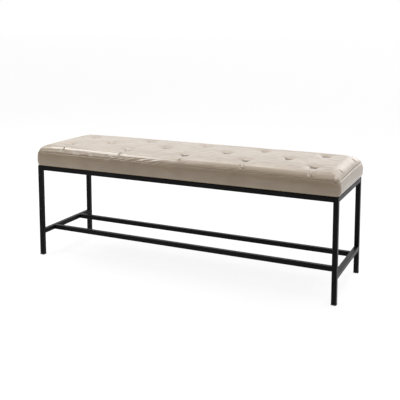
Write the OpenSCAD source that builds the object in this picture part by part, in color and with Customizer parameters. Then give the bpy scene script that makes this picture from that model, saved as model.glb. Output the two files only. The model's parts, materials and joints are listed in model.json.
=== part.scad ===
// Entryway bench: a welded frame of square steel tube carries a tufted, upholstered seat.
// Sizes are millimetres. X runs along the bench, Y from front to back, Z up.
// The origin lies on the floor, under the middle of the bench.

/* [Frame] */
// Length of the steel frame
bench_l = 1240; // [1120:10:1400]
// Depth of the steel frame, front to back
bench_d = 356; // [330:2:400]
// Height of the top of the frame above the floor
frame_h = 374; // [320:2:440]

/* [Square tube] */
// Outer width of the tube
tube_w = 18; // [16:0.5:22]
// Wall of the tube
tube_wall = 1.5; // [1.2:0.1:2]
// Outer corner radius of the tube
tube_r = 2.2; // [1.8:0.1:3]

/* [Low bars] */
// Height of the middle of the crossbars and stretchers above the floor
low_bar_z = 97; // [70:1:180]
// Distance between the middles of the two long stretchers
stretcher_spacing = 182; // [140:2:220]

/* [Seat supports] */
// Distance between the middles of the two hidden bearers
bearer_spacing = 414; // [380:2:450]
// Distance between the two bolts in one bearer
bearer_bolt_spacing = 220; // [200:2:240]
// Length of a corner plate along each rail
plate_leg = 52; // [48:1:60]
// Thickness of a corner plate
plate_t = 3; // [2:0.5:4]
// Width of the blunt tips of a corner plate
plate_tip = 8; // [6:1:12]
// Distance of the bolt hole in a corner plate from each rail
plate_hole_in = 18; // [15:1:20]

/* [Feet] */
// Height of the part of a foot cap that stands below the leg
foot_h = 4; // [3:0.5:8]
// How far a foot cap stands out past each face of the leg
foot_lip = 0.4; // [0.2:0.1:1]
// Length of the plug inside the leg
foot_plug_h = 16; // [12:1:24]
// Wall of the plug
foot_plug_wall = 2; // [1.5:0.1:2.5]
// Number of grip ribs round the plug
foot_ribs = 3; // [2:1:4]
// Thickness of one grip rib
foot_rib_t = 1.2; // [1:0.1:1.6]

/* [Seat] */
// How far the seat stands out past the frame on each side
seat_overhang = 4; // [3:0.5:8]
// Thickness of the plywood board
board_t = 15; // [12:1:20]
// Thickness of the foam
foam_t = 60; // [50:1:80]
// Thickness of the wadding
wadding_t = 5; // [4:0.5:8]
// Thickness of the faux leather
cover_t = 1.2; // [1:0.1:1.6]
// Thickness of the dust cover
dust_t = 0.8; // [0.6:0.1:1.2]
// Radius of the seat's upright corners
seat_corner_r = 16; // [12:1:24]
// Radius of the roll along the seat's top edges, which ends at the seam
seat_roll_r = 26; // [20:1:32]
// Width of the hem that is turned in under the board
hem_w = 38; // [34:1:50]
// How far the dust cover stays inside the edge of the frame
dust_inset = 6; // [4:1:10]

/* [Tufts] */
// Distance between tufts along a row
tuft_pitch = 256; // [240:2:280]
// Distance from the middle row of tufts to the outer rows
tuft_row = 96; // [80:1:110]
// Least distance from an end tuft to the end of the seat
tuft_margin = 40; // [30:1:60]
// Depth of the hollow that a tuft pulls into the top
tuft_depth = 10; // [6:1:14]
// Radius of the round hollow at a tuft
tuft_hollow_r = 50; // [40:1:70]
// Diameter of the twine
twine_d = 2; // [1.5:0.1:2.5]
// Diameter of the knots in the twine
knot_d = 5; // [4:0.5:6]
// Height of a knot
knot_h = 1.2; // [1:0.1:1.5]
// Diameter of the anchor buttons under the board
anchor_d = 16; // [14:1:20]
// Thickness of the anchor buttons
anchor_t = 1.8; // [1.5:0.1:2.2]

/* [Seat fixings] */
// Diameter of the seat bolts
bolt_d = 6; // [5:0.5:6]
// Diameter of the bolt heads
bolt_head_d = 11; // [10:0.5:12]
// Height of the bolt heads
bolt_head_h = 3.4; // [3:0.1:4]
// Height of the upright rim of a bolt head
bolt_rim_h = 1; // [0.6:0.1:1.4]
// Diameter of the flat crown of a bolt head
bolt_crown_d = 7.6; // [6.5:0.1:8.5]
// Width across the flats of the hexagon socket
bolt_socket = 4; // [3:0.5:4.5]
// Depth of the hexagon socket
bolt_socket_h = 2.2; // [1.8:0.1:2.4]
// How far the end of a bolt stays below the top of the board
bolt_end_in = 1; // [0.5:0.5:3]
// Diameter of the washers
washer_d = 14; // [13:0.5:16]
// Thickness of the washers
washer_t = 1.2; // [1:0.1:1.6]
// Diameter of a tee nut's flange
nut_flange_d = 19; // [17:0.5:22]
// Thickness of a tee nut's flange
nut_flange_t = 1.5; // [1.2:0.1:2]
// Diameter of a tee nut's barrel
nut_barrel_d = 8; // [7.5:0.1:9]
// Length of a tee nut's barrel below its flange
nut_barrel_h = 9; // [7:0.5:10]

/* [Staples] */
// Distance between staples
staple_pitch = 88; // [70:1:110]
// Distance of the staples from the inner face of the frame
staple_in = 8; // [6:0.5:10]
// Width of a staple
staple_w = 10; // [8:0.5:12]
// Thickness of the staple wire
staple_wire = 0.7; // [0.6:0.1:1]
// Length of a staple's prongs
staple_prong = 8; // [6:0.5:10]

/* [Clearances] */
// Round the plug of a foot cap in its leg
plug_fit = 0.25; // [0.15:0.05:0.4]
// Round the grip ribs of a foot cap in its leg
rib_fit = 0.05; // [0.02:0.01:0.1]
// Round a bolt in a hole of the steel frame or the cloth
bolt_fit = 0.4; // [0.2:0.1:0.6]
// Round a bolt in its tee nut or washer
thread_fit = 0.1; // [0.05:0.05:0.2]
// Round a tee nut, an anchor button or a staple in the board
seat_fit = 0.15; // [0.1:0.05:0.3]
// Round the twine in its holes
twine_fit = 0.3; // [0.2:0.1:0.5]
// Between the layers of the upholstery
layer_gap = 0.2; // [0.1:0.1:0.4]

/* [Hidden] */
$fn = 48;
cut_past = 1;
smallest_r = 0.3;

leg_x = bench_l / 2 - tube_w / 2;
leg_y = bench_d / 2 - tube_w / 2;
top_rail_z = frame_h - tube_w / 2;
inner_half_l = bench_l / 2 - tube_w;
inner_half_d = bench_d / 2 - tube_w;
bore_w = tube_w - 2 * tube_wall;
bore_r = max(tube_r - tube_wall, smallest_r);

hem_z = frame_h + dust_t;
board_z = hem_z + cover_t;
board_top = board_z + board_t;
wadding_in = cover_t + layer_gap;
foam_in = wadding_in + wadding_t + layer_gap;
seat_top = board_top + foam_t + foam_in;
seat_l = bench_l + 2 * seat_overhang;
seat_d = bench_d + 2 * seat_overhang;
seam_z = seat_top - seat_roll_r;

tuft_steps = floor((seat_l / 2 - tuft_margin) / tuft_pitch);
outer_row = [for (i = [-tuft_steps:tuft_steps]) i * tuft_pitch];
middle_row = [for (i = [-tuft_steps:tuft_steps - 1]) (i + 0.5) * tuft_pitch];
tufts = concat(
    [for (x = outer_row, side = [-1, 1]) [x, side * tuft_row]],
    [for (x = middle_row) [x, 0]]
);
tuft_floor = seat_top - tuft_depth;
knot_lift = knot_d * knot_d / (8 * tuft_hollow_r) + layer_gap / 2;
anchor_seat_h = anchor_t + knot_h - cover_t + layer_gap;
anchor_top = board_z + anchor_seat_h;
tie_bottom = anchor_top - anchor_t - knot_h;
tie_top = tuft_floor + knot_lift + knot_h;

plate_bolt_x = inner_half_l - plate_hole_in;
plate_bolt_y = inner_half_d - plate_hole_in;
plate_bolts = [for (x = [-1, 1], y = [-1, 1]) [x * plate_bolt_x, y * plate_bolt_y]];
bearer_bolts_at = [
    for (x = [-1, 1], y = [-1, 1]) [x * bearer_spacing / 2, y * bearer_bolt_spacing / 2]
];
bolts_at = concat(plate_bolts, bearer_bolts_at);
bolt_end = board_top - bolt_end_in;
plate_bolt_z = frame_h - plate_t - washer_t;
bearer_bolt_z = frame_h - tube_w - washer_t;

staple_line_x = inner_half_l - staple_in;
staple_line_y = inner_half_d - staple_in;
staple_reach_x = inner_half_l - plate_leg - staple_w;
staple_reach_y = inner_half_d - plate_leg - staple_w;
staple_steps_x = floor(staple_reach_x / staple_pitch);
staple_steps_y = floor(staple_reach_y / staple_pitch);
bearer_keep_out = tube_w / 2 + staple_w;
staple_xs = [
    for (i = [-staple_steps_x:staple_steps_x])
        if (abs(abs(i * staple_pitch) - bearer_spacing / 2) > bearer_keep_out) i * staple_pitch
];
staple_ys = [for (i = [-staple_steps_y:staple_steps_y]) i * staple_pitch];

steel_black = "#1d1d1f";
plastic_black = "#101011";
leather_taupe = "#b3a699";
ply_birch = "#c9a877";
foam_cream = "#e8dcb8";
wadding_white = "#f2f2ee";
cloth_black = "#262628";
twine_taupe = "#8f8376";
zinc = "#b9bcc0";

// A rectangle with round corners, centred on the origin.
module rounded_rect(l, w, r) {
    square([l - 2 * r, w], center = true);
    square([l, w - 2 * r], center = true);
    for (x = [-1, 1], y = [-1, 1])
        translate([x * (l / 2 - r), y * (w / 2 - r)]) circle(r);
}

// A cut length of square tube, standing on the origin.
module square_tube(length) {
    color(steel_black) linear_extrude(length) difference() {
        rounded_rect(tube_w, tube_w, tube_r);
        rounded_rect(bore_w, bore_w, bore_r);
    }
}

// A tube that runs along X, centred, with its middle at y and z.
module tube_along_x(length, y, z) {
    translate([-length / 2, y, z]) rotate([0, 90, 0]) square_tube(length);
}

// A tube that runs along Y, centred, with its middle at x and z.
module tube_along_y(length, x, z) {
    translate([x, -length / 2, z]) rotate([-90, 0, 0]) square_tube(length);
}

// Upright holes or rods at a list of places.
module uprights(places, d, z_from, z_to) {
    for (p = places)
        translate([p[0], p[1], z_from]) cylinder(h = z_to - z_from, d = d);
}

// ---- steel frame ----

module leg(side_x, side_y) {
    translate([side_x * leg_x, side_y * leg_y, foot_h]) square_tube(frame_h - foot_h);
}

module top_rail(side_y) {
    tube_along_x(2 * inner_half_l, side_y * leg_y, top_rail_z);
}

module end_rail(side_x) {
    tube_along_y(2 * inner_half_d, side_x * leg_x, top_rail_z);
}

module crossbar(side_x) {
    tube_along_y(2 * inner_half_d, side_x * leg_x, low_bar_z);
}

module stretcher(side_y) {
    tube_along_x(2 * inner_half_l, side_y * stretcher_spacing / 2, low_bar_z);
}

module seat_bearer(side_x) {
    difference() {
        tube_along_y(2 * inner_half_d, side_x * bearer_spacing / 2, top_rail_z);
        uprights(
            bearer_bolts_at, bolt_d + 2 * bolt_fit,
            frame_h - tube_w - cut_past, frame_h + cut_past
        );
    }
}

module corner_plate(side_x, side_y) {
    color(steel_black) translate([side_x * inner_half_l, side_y * inner_half_d, frame_h - plate_t])
        difference() {
            linear_extrude(plate_t) polygon([
                [0, 0],
                [-side_x * plate_leg, 0],
                [-side_x * plate_leg, -side_y * plate_tip],
                [-side_x * plate_tip, -side_y * plate_leg],
                [0, -side_y * plate_leg]
            ]);
            translate([-side_x * plate_hole_in, -side_y * plate_hole_in, -cut_past])
                cylinder(h = plate_t + 2 * cut_past, d = bolt_d + 2 * bolt_fit);
        }
}

// ---- feet ----

module foot_cap(side_x, side_y) {
    head_w = tube_w + 2 * foot_lip;
    plug_w = bore_w - 2 * plug_fit;
    rib_w = bore_w - 2 * rib_fit;
    hollow_w = plug_w - 2 * foot_plug_wall;
    rib_step = foot_plug_h / (foot_ribs + 1);
    color(plastic_black) translate([side_x * leg_x, side_y * leg_y, 0]) difference() {
        union() {
            linear_extrude(foot_h) rounded_rect(head_w, head_w, tube_r + foot_lip);
            linear_extrude(foot_h + foot_plug_h) rounded_rect(plug_w, plug_w, bore_r);
            for (i = [1:foot_ribs])
                translate([0, 0, foot_h + i * rib_step - foot_rib_t / 2])
                    linear_extrude(foot_rib_t) rounded_rect(rib_w, rib_w, bore_r);
        }
        translate([0, 0, foot_h])
            linear_extrude(foot_plug_h + cut_past) rounded_rect(hollow_w, hollow_w, bore_r);
    }
}

// ---- seat ----

// The seat's outline seen along its length or across it: rolled top edges, flat below.
module roll_profile(width, z_to, r) {
    translate([-width / 2, hem_z]) square([width, z_to - r - hem_z]);
    translate([-width / 2 + r, hem_z]) square([width - 2 * r, z_to - hem_z]);
    for (side = [-1, 1])
        translate([side * (width / 2 - r), z_to - r]) circle(r);
}

module rolled_bar(length, width, z_to, r) {
    translate([-length / 2, 0, 0]) rotate([90, 0, 90])
        linear_extrude(length) roll_profile(width, z_to, r);
}

// The seat's outline seen from above, a given depth inside its skin.
module seat_plan(inset) {
    rounded_rect(seat_l - 2 * inset, seat_d - 2 * inset, seat_corner_r - inset);
}

// The whole form of the seat above z_from, a given depth inside its skin.
module seat_form(inset, z_from) {
    l = seat_l - 2 * inset;
    w = seat_d - 2 * inset;
    r = seat_roll_r - inset;
    z_to = seat_top - inset;
    intersection() {
        translate([0, 0, z_from]) linear_extrude(z_to - z_from) seat_plan(inset);
        rolled_bar(l, w, z_to, r);
        rotate([0, 0, 90]) rolled_bar(w, l, z_to, r);
    }
}

// The same form with the round hollows that the tufts pull into it.
module tufted_form(inset, z_from) {
    difference() {
        seat_form(inset, z_from);
        for (t = tufts)
            translate([t[0], t[1], tuft_floor + tuft_hollow_r]) sphere(tuft_hollow_r + inset);
    }
}

module twine_holes(z_from, z_to) {
    uprights(tufts, twine_d + 2 * twine_fit, z_from, z_to);
}

module seat_board() {
    color(ply_birch) difference() {
        translate([0, 0, board_z]) linear_extrude(board_t) seat_plan(foam_in);
        twine_holes(board_z - cut_past, board_top + cut_past);
        uprights(tufts, anchor_d + 2 * seat_fit, board_z - cut_past, anchor_top);
        uprights(bolts_at, nut_barrel_d + 2 * seat_fit, board_z - cut_past, board_top + cut_past);
        uprights(
            bolts_at, nut_flange_d + 2 * seat_fit,
            board_top - nut_flange_t, board_top + cut_past
        );
        staples(seat_fit);
    }
}

module foam_core() {
    color(foam_cream) difference() {
        tufted_form(foam_in, board_top);
        twine_holes(board_top - cut_past, seat_top);
    }
}

module wadding_wrap() {
    color(wadding_white) difference() {
        tufted_form(wadding_in, board_z);
        tufted_form(wadding_in + wadding_t, board_z - cut_past);
        twine_holes(board_top, seat_top);
    }
}

module cover_band() {
    color(leather_taupe) difference() {
        translate([0, 0, hem_z]) linear_extrude(seam_z - hem_z) seat_plan(0);
        translate([0, 0, board_z]) linear_extrude(seam_z - board_z + cut_past) seat_plan(cover_t);
        translate([0, 0, hem_z - cut_past]) linear_extrude(cover_t + 2 * cut_past)
            square([seat_l - 2 * (foam_in + hem_w), seat_d - 2 * (foam_in + hem_w)], center = true);
        staples(seat_fit);
        uprights(bolts_at, bolt_d + 2 * bolt_fit, hem_z - cut_past, board_z + cut_past);
    }
}

module cover_top() {
    color(leather_taupe) difference() {
        tufted_form(0, seam_z);
        tufted_form(cover_t, seam_z - cut_past);
        twine_holes(seam_z, seat_top);
    }
}

module tuft_ties() {
    color(twine_taupe) {
        uprights(tufts, twine_d, tie_bottom, tie_top);
        uprights(tufts, knot_d, tie_bottom, tie_bottom + knot_h);
        uprights(tufts, knot_d, tie_top - knot_h, tie_top);
    }
}

module tuft_anchors() {
    color(plastic_black) difference() {
        uprights(tufts, anchor_d, anchor_top - anchor_t, anchor_top);
        twine_holes(anchor_top - anchor_t - cut_past, anchor_top + cut_past);
    }
}

module dust_cover() {
    l = bench_l - 2 * dust_inset;
    w = bench_d - 2 * dust_inset;
    color(cloth_black) difference() {
        translate([0, 0, frame_h]) linear_extrude(dust_t) rounded_rect(l, w, seat_corner_r);
        uprights(bolts_at, bolt_d + 2 * bolt_fit, frame_h - cut_past, hem_z + cut_past);
        staples(seat_fit);
    }
}

// One staple, its back along X on the origin and its prongs up, grown by a clearance.
module staple(fit) {
    wire = staple_wire + 2 * fit;
    translate([-staple_w / 2 - fit, -wire / 2, -staple_wire - fit])
        cube([staple_w + 2 * fit, wire, wire]);
    for (side = [-1, 1])
        translate([side * (staple_w - staple_wire) / 2 - wire / 2, -wire / 2, -staple_wire])
            cube([wire, wire, staple_wire + staple_prong + fit]);
}

module staples(fit) {
    for (x = staple_xs, side = [-1, 1])
        translate([x, side * staple_line_y, frame_h]) staple(fit);
    for (y = staple_ys, side = [-1, 1])
        translate([side * staple_line_x, y, frame_h]) rotate([0, 0, 90]) staple(fit);
}

module hem_staples() {
    color(zinc) staples(0);
}

// ---- seat fixings ----

module tee_nuts() {
    color(zinc) difference() {
        union() {
            uprights(bolts_at, nut_flange_d, board_top - nut_flange_t, board_top);
            uprights(bolts_at, nut_barrel_d, board_top - nut_flange_t - nut_barrel_h, board_top);
        }
        uprights(
            bolts_at, bolt_d + 2 * thread_fit,
            board_top - nut_flange_t - nut_barrel_h - cut_past, board_top + cut_past
        );
    }
}

// Button-head bolts with a hexagon socket, pointing up, with the underside of the head at z.
module bolts(places, z) {
    head_r = bolt_head_d / 2;
    socket_d = bolt_socket / cos(30);
    color(zinc) for (p = places) translate([p[0], p[1], z]) difference() {
        union() {
            cylinder(h = bolt_end - z, d = bolt_d);
            rotate_extrude() polygon([
                [0, 0],
                [head_r, 0],
                [head_r, -bolt_rim_h],
                [bolt_crown_d / 2, -bolt_head_h],
                [0, -bolt_head_h]
            ]);
        }
        translate([0, 0, -bolt_head_h - cut_past])
            cylinder(h = bolt_socket_h + cut_past, d = socket_d, $fn = 6);
    }
}

module washers(places, z) {
    color(zinc) difference() {
        uprights(places, washer_d, z, z + washer_t);
        uprights(places, bolt_d + 2 * thread_fit, z - cut_past, z + washer_t + cut_past);
    }
}

leg(-1, -1);  // leg_front_left
leg(1, -1);  // leg_front_right
leg(-1, 1);  // leg_back_left
leg(1, 1);  // leg_back_right
top_rail(-1);  // top_rail_front
top_rail(1);  // top_rail_back
end_rail(-1);  // end_rail_left
end_rail(1);  // end_rail_right
crossbar(-1);  // crossbar_left
crossbar(1);  // crossbar_right
stretcher(-1);  // stretcher_front
stretcher(1);  // stretcher_back
seat_bearer(-1);  // seat_bearer_left
seat_bearer(1);  // seat_bearer_right
corner_plate(-1, -1);  // corner_plate_front_left
corner_plate(1, -1);  // corner_plate_front_right
corner_plate(-1, 1);  // corner_plate_back_left
corner_plate(1, 1);  // corner_plate_back_right
foot_cap(-1, -1);  // foot_cap_front_left
foot_cap(1, -1);  // foot_cap_front_right
foot_cap(-1, 1);  // foot_cap_back_left
foot_cap(1, 1);  // foot_cap_back_right
seat_board();
foam_core();
wadding_wrap();
cover_band();
cover_top();
tuft_ties();
tuft_anchors();
dust_cover();
hem_staples();
tee_nuts();
bolts(plate_bolts, plate_bolt_z);  // corner_bolts
washers(plate_bolts, plate_bolt_z);  // corner_washers
bolts(bearer_bolts_at, bearer_bolt_z);  // bearer_bolts
washers(bearer_bolts_at, bearer_bolt_z);  // bearer_washers
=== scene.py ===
"""Looks of an entryway bench: a tufted faux-leather seat on a powder-coated frame of square steel tube.

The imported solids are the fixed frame. Steel, feet, board and fixings keep their own meshes and get
finishes. The seat's cover, wadding, foam and twine are built here, round the same plan and heights.
Lengths are metres in the frame's axes: X along the bench, Y from front to back, Z up.
"""

from __future__ import annotations

import json
import logging
import math
from dataclasses import dataclass, field
from enum import Enum
from typing import Any, Sequence

import bpy
import numpy as np
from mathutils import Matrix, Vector

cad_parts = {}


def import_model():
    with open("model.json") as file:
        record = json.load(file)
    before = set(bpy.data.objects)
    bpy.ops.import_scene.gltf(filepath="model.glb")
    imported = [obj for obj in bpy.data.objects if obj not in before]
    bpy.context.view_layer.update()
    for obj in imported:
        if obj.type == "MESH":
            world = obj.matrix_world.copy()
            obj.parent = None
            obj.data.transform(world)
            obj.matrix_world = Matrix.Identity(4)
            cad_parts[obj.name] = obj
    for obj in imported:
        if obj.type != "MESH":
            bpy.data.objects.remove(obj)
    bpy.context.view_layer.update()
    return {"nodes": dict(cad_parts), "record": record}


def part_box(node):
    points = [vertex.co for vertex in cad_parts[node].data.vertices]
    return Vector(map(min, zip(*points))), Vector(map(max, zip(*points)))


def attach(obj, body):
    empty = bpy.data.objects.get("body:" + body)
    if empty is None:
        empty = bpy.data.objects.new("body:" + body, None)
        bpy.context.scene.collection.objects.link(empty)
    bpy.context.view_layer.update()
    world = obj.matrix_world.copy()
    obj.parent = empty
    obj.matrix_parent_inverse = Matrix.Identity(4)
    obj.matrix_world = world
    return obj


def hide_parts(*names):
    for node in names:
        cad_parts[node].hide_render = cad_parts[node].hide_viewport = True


LOG = logging.getLogger("bench")
MM = 0.001
BODY = "root"
# Name of the point attribute that holds the painted shade in the tufts' folds.
PAINTED_FOLD_SHADE = "painted_fold_shade"
WAVE_CYCLE = 2 * math.pi / 20  # A wave texture draws 20 / (2 pi) bands for each unit of its scale.
Array = np.ndarray
Colour = tuple[float, float, float, float]
Place = tuple[float, float]
Tree = bpy.types.NodeTree
Object = bpy.types.Object


# ---- colour and nodes


def linear(code: str) -> Colour:
    """Turns an sRGB hex colour to linear.

    Args:
        code: The colour as "#rrggbb".

    Returns:
        Linear red, green and blue, with an alpha of 1.
    """
    parts = [int(code[i : i + 2], 16) / 255 for i in (1, 3, 5)]
    red, green, blue = (c / 12.92 if c <= 0.04045 else ((c + 0.055) / 1.055) ** 2.4 for c in parts)
    return (red, green, blue, 1.0)


def grey(value: float) -> Colour:
    """A linear grey, for ramps that drive a number."""
    return (value, value, value, 1.0)


def per_mm(size: float) -> float:
    """The scale of a texture whose cells are this many millimetres across."""
    return 1.0 / (size * MM)


def add_node(tree: Tree, kind: str, inputs: dict[Any, Any] | None = None,
             stops: Sequence[tuple[float, Colour]] = (), **settings: Any) -> Any:
    """Adds a node with its settings and links.

    Args:
        tree: The node tree.
        kind: The node's type, such as "ShaderNodeBump".
        inputs: For a socket's name or number, its value, or the socket or node that feeds it. A node
            feeds with its first output.
        stops: On a colour ramp, the position and linear colour of its two stops.
        **settings: The node's own settings.

    Returns:
        The new node.
    """
    node = tree.nodes.new(kind)
    for key, value in settings.items():
        setattr(node, key, value)
    for key, value in (inputs or {}).items():
        source = value.outputs[0] if isinstance(value, bpy.types.Node) else value
        if isinstance(source, bpy.types.NodeSocket):
            tree.links.new(source, node.inputs[key])
        else:
            node.inputs[key].default_value = source
    for number, (position, colour) in enumerate(stops):
        element = node.color_ramp.elements[number]
        element.position = position
        element.color = colour
    return node


# ---- finishes


@dataclass(frozen=True)
class Finish:
    """A surface finish. Subclasses say what feeds the one Principled shader."""

    name: str = "finish"

    def build(self) -> bpy.types.Material:
        """Makes the material, or returns it if it has been made already."""
        made = bpy.data.materials.get(self.name)
        if made is not None:
            return made
        material = bpy.data.materials.new(self.name)
        material.use_nodes = True
        tree = material.node_tree
        tree.nodes.clear()
        place = add_node(tree, "ShaderNodeTexCoord").outputs["Object"]
        shader = add_node(tree, "ShaderNodeBsdfPrincipled", self.dress(tree, place))
        add_node(tree, "ShaderNodeOutputMaterial", {"Surface": shader})
        return material

    def dress(self, tree: Tree, place: Any) -> dict[str, Any]:
        """Adds the finish's patterns.

        Args:
            tree: The material's node tree.
            place: Object coordinates, in metres.

        Returns:
            For each of the shader's sockets, its value or what feeds it.
        """
        raise NotImplementedError


@dataclass(frozen=True)
class CoatedFauxLeather(Finish):
    """Polyurethane-coated fabric, embossed with a fine calf grain and left semi-gloss.

    To the eye it is smooth and a little waxy: broad soft highlights, a grain seen only close by,
    and a slight clouding of the colour where the coating is thicker.
    """

    name: str = "coated_faux_leather"
    light: str = "#8a7a66"
    dark: str = "#80705c"
    # Painted shade: the darker tone mixed into the colour in the tufts' folds.
    fold: str = "#5c4d3f"
    grain_mm: float = 1.3
    pore_mm: float = 0.5
    cloud_mm: float = 90.0
    roughness: float = 0.36

    def dress(self, tree: Tree, place: Any) -> dict[str, Any]:
        """Clouded colour with painted shade in the tufts' folds, embossed grain and soft gloss."""
        cloud = add_node(tree, "ShaderNodeTexNoise",
                         {"Vector": place, "Scale": per_mm(self.cloud_mm), "Detail": 3.0})
        clouded = add_node(tree, "ShaderNodeValToRGB", {"Fac": cloud},
                           [(0.32, linear(self.dark)), (0.68, linear(self.light))])
        # Painted shade: the colour darkens towards the fold tone in the tufts' folds, where shade falls.
        folds = add_node(tree, "ShaderNodeAttribute", attribute_name=PAINTED_FOLD_SHADE)
        toned = add_node(tree, "ShaderNodeMix",
                         {0: folds.outputs["Fac"], 6: clouded, 7: linear(self.fold)}, data_type="RGBA")
        gloss = add_node(tree, "ShaderNodeValToRGB", {"Fac": cloud},
                         [(0.3, grey(self.roughness + 0.05)), (0.7, grey(self.roughness - 0.03))])
        # Calf grain is under a millimetre; it is drawn slightly coarser so that close views show it.
        grain = add_node(tree, "ShaderNodeTexVoronoi", {"Vector": place, "Scale": per_mm(self.grain_mm)},
                         feature="SMOOTH_F1")
        pores = add_node(tree, "ShaderNodeTexNoise", {"Vector": place, "Scale": per_mm(self.pore_mm)})
        deep = add_node(tree, "ShaderNodeBump",
                        {"Height": grain, "Strength": 0.22, "Distance": 0.12 * MM})
        fine = add_node(tree, "ShaderNodeBump",
                        {"Height": pores, "Strength": 0.15, "Distance": 0.05 * MM, "Normal": deep})
        return {"Base Color": toned.outputs[2], "Roughness": gloss, "Normal": fine, "IOR": 1.5,
                "Coat Weight": 0.6, "Coat Roughness": 0.2}


@dataclass(frozen=True)
class PowderCoatedSteel(Finish):
    """Mild steel tube under a baked black polyester powder coat.

    To the eye it is a satin black with a faint orange-peel texture that breaks up reflections,
    a touch greyer where dust and handling have dulled it.
    """

    name: str = "powder_coated_steel"
    black: str = "#0f0f10"
    dulled: str = "#171718"
    peel_mm: float = 1.1
    speck_mm: float = 0.4
    handling_mm: float = 70.0
    roughness: float = 0.34

    def dress(self, tree: Tree, place: Any) -> dict[str, Any]:
        """Satin black with orange peel and slight dulling."""
        handled = add_node(tree, "ShaderNodeTexNoise",
                           {"Vector": place, "Scale": per_mm(self.handling_mm), "Detail": 5.0,
                            "Roughness": 0.6})
        colour = add_node(tree, "ShaderNodeValToRGB", {"Fac": handled},
                          [(0.4, linear(self.black)), (0.72, linear(self.dulled))])
        gloss = add_node(tree, "ShaderNodeValToRGB", {"Fac": handled},
                         [(0.35, grey(self.roughness - 0.04)), (0.75, grey(self.roughness + 0.08))])
        peel = add_node(tree, "ShaderNodeTexNoise",
                        {"Vector": place, "Scale": per_mm(self.peel_mm), "Detail": 1.0})
        speck = add_node(tree, "ShaderNodeTexNoise",
                         {"Vector": place, "Scale": per_mm(self.speck_mm), "Detail": 0.0})
        broad = add_node(tree, "ShaderNodeBump",
                         {"Height": peel, "Strength": 0.3, "Distance": 0.08 * MM})
        fine = add_node(tree, "ShaderNodeBump",
                        {"Height": speck, "Strength": 0.2, "Distance": 0.03 * MM, "Normal": broad})
        return {"Base Color": colour, "Roughness": gloss, "Normal": fine, "Specular IOR Level": 0.06}


@dataclass(frozen=True)
class MouldedPlastic(Finish):
    """Injection-moulded polyethylene with a spark-eroded matt surface.

    To the eye it is an even dull black, softer and darker than the steel above it.
    """

    name: str = "moulded_polyethylene"
    black: str = "#0f0f10"
    scuffed: str = "#1b1b1c"
    scuff_mm: float = 9.0
    spark_mm: float = 0.35

    def dress(self, tree: Tree, place: Any) -> dict[str, Any]:
        """Matt black with scuffs and a spark-eroded grain."""
        scuffs = add_node(tree, "ShaderNodeTexNoise",
                          {"Vector": place, "Scale": per_mm(self.scuff_mm), "Detail": 6.0,
                           "Roughness": 0.65})
        colour = add_node(tree, "ShaderNodeValToRGB", {"Fac": scuffs},
                          [(0.45, linear(self.black)), (0.75, linear(self.scuffed))])
        spark = add_node(tree, "ShaderNodeTexNoise",
                         {"Vector": place, "Scale": per_mm(self.spark_mm), "Detail": 1.0})
        bump = add_node(tree, "ShaderNodeBump", {"Height": spark, "Strength": 0.35, "Distance": 0.04 * MM})
        return {"Base Color": colour, "Normal": bump, "Roughness": 0.62}


@dataclass(frozen=True)
class BirchPlywood(Finish):
    """Rotary-cut birch plywood, sanded and left raw.

    To the eye it has long pale figure on its faces and thin light and dark plies on its edges.
    """

    name: str = "birch_plywood"
    pale: str = "#d9bf96"
    ply_dark: str = "#a98458"
    figure_mm: float = 26.0
    ply_mm: float = 1.5

    def dress(self, tree: Tree, place: Any) -> dict[str, Any]:
        """Figure stretched along the board, crossed by plies through its thickness."""
        along = add_node(tree, "ShaderNodeMapping", {"Vector": place, "Scale": (0.12, 1.0, 1.0)})
        figure = add_node(tree, "ShaderNodeTexNoise",
                          {"Vector": along, "Scale": per_mm(self.figure_mm), "Detail": 6.0,
                           "Roughness": 0.6, "Distortion": 0.8})
        # One light and one dark ply make a cycle of two plies.
        plies = add_node(tree, "ShaderNodeTexWave",
                         {"Vector": place, "Scale": per_mm(self.ply_mm * 2) * WAVE_CYCLE},
                         wave_type="BANDS", bands_direction="Z")
        faces = add_node(tree, "ShaderNodeMath", {0: figure, 1: 0.7}, operation="MULTIPLY")
        both = add_node(tree, "ShaderNodeMath", {0: plies.outputs["Fac"], 1: 0.3, 2: faces},
                        operation="MULTIPLY_ADD")
        colour = add_node(tree, "ShaderNodeValToRGB", {"Fac": both},
                          [(0.2, linear(self.ply_dark)), (0.7, linear(self.pale))])
        bump = add_node(tree, "ShaderNodeBump", {"Height": figure, "Strength": 0.3, "Distance": 0.1 * MM})
        return {"Base Color": colour, "Normal": bump, "Roughness": 0.66}


@dataclass(frozen=True)
class FoamBlock(Finish):
    """Open-cell polyurethane foam, cut from a block.

    To the eye it is matt and yellowish with an even pattern of small open cells.
    """

    name: str = "polyurethane_foam"
    light: str = "#e9d9a8"
    cell: str = "#bfa870"
    cell_mm: float = 1.2

    def dress(self, tree: Tree, place: Any) -> dict[str, Any]:
        """Open cells in the bump, with painted shade darkening the colour in each cell."""
        cells = add_node(tree, "ShaderNodeTexVoronoi", {"Vector": place, "Scale": per_mm(self.cell_mm)})
        # Painted shade: the colour darkens to the cell tone in the hollow of each open cell.
        colour = add_node(tree, "ShaderNodeValToRGB", {"Fac": cells},
                          [(0.1, linear(self.cell)), (0.6, linear(self.light))])
        bump = add_node(tree, "ShaderNodeBump", {"Height": cells, "Strength": 0.6, "Distance": 0.3 * MM})
        return {"Base Color": colour, "Normal": bump, "Roughness": 0.95}


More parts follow.
